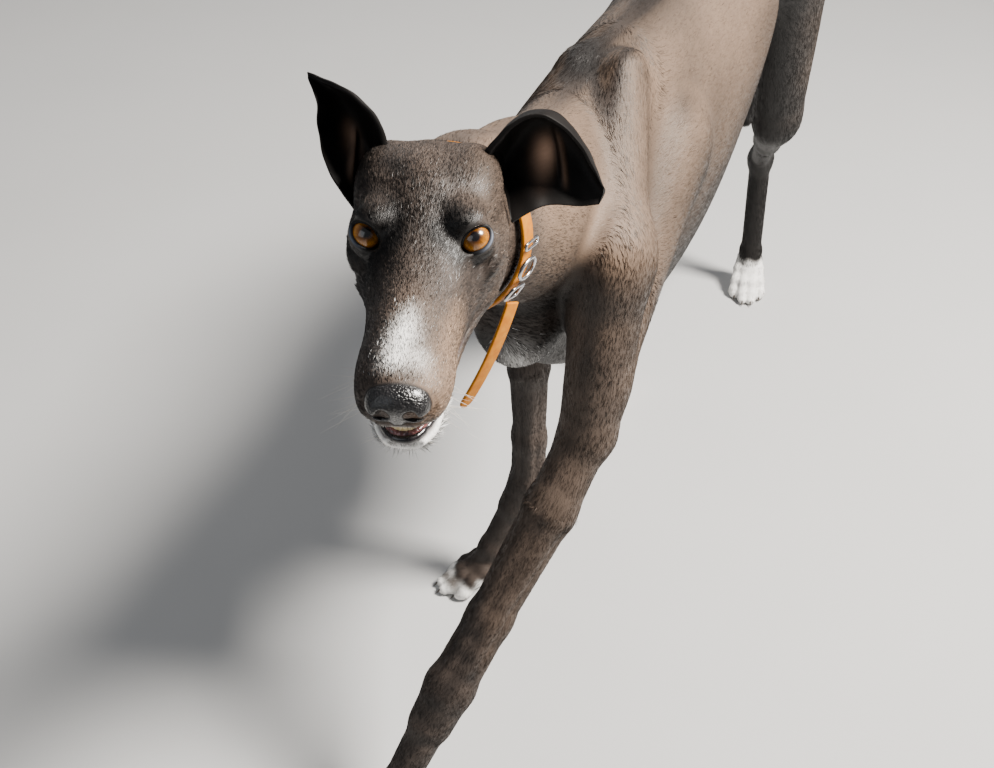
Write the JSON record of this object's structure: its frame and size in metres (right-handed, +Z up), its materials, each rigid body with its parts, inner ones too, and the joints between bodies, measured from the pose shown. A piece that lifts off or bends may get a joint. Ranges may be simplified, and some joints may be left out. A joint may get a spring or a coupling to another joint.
{
  "type": "greyhound",
  "caption": "Still life-size model of a standing greyhound in mid stride, short black coat with white toes, ears half up, head turned, wearing an orange collar.",
  "frame": {"origin": "on the floor, under the middle of the bounding box", "axes": "+X towards the dog's left, -Y towards the nose, +Y towards the tail along the length, +Z up"},
  "size_m": [0.2802, 1.3428, 0.8074],
  "materials": {
    "coat": "short dense black coat, sun-bleached brown and grey on the back, neck and sides",
    "paw_coat": "short white hair on the toes, black above, dark claws",
    "ear_coat": "thin near-black hair, brown skin inside",
    "nose_leather": "moist black leather of the nose",
    "eye": "clear cornea over an amber iris with a dark pupil",
    "teeth": "yellowish enamel in pink and black gum",
    "strap": "orange coated webbing, semi-gloss",
    "collar_metal": "plated steel, worn bright"
  },
  "bodies": {
    "root": {"torso": "coat", "neck": "coat", "head": "coat", "lower_jaw": "coat", "forearm_left": "coat", "forearm_right": "coat", "fore_pastern_left": "coat", "fore_pastern_right": "coat", "thigh_left": "coat", "thigh_right": "coat", "second_thigh_left": "coat", "second_thigh_right": "coat", "hind_pastern_left": "coat", "hind_pastern_right": "coat", "tail_upper": "coat", "tail_tip": "coat", "fore_paw_left": "paw_coat", "fore_paw_right": "paw_coat", "hind_paw_left": "paw_coat", "hind_paw_right": "paw_coat", "ear_left": "ear_coat", "ear_right": "ear_coat", "nose": "nose_leather", "eye_left": "eye", "eye_right": "eye", "lower_teeth": "teeth", "collar_strap": "strap", "collar_strap_end": "strap", "collar_buckle": "collar_metal", "collar_keeper": "collar_metal", "collar_ring": "collar_metal"}
  },
  "joints": []
}
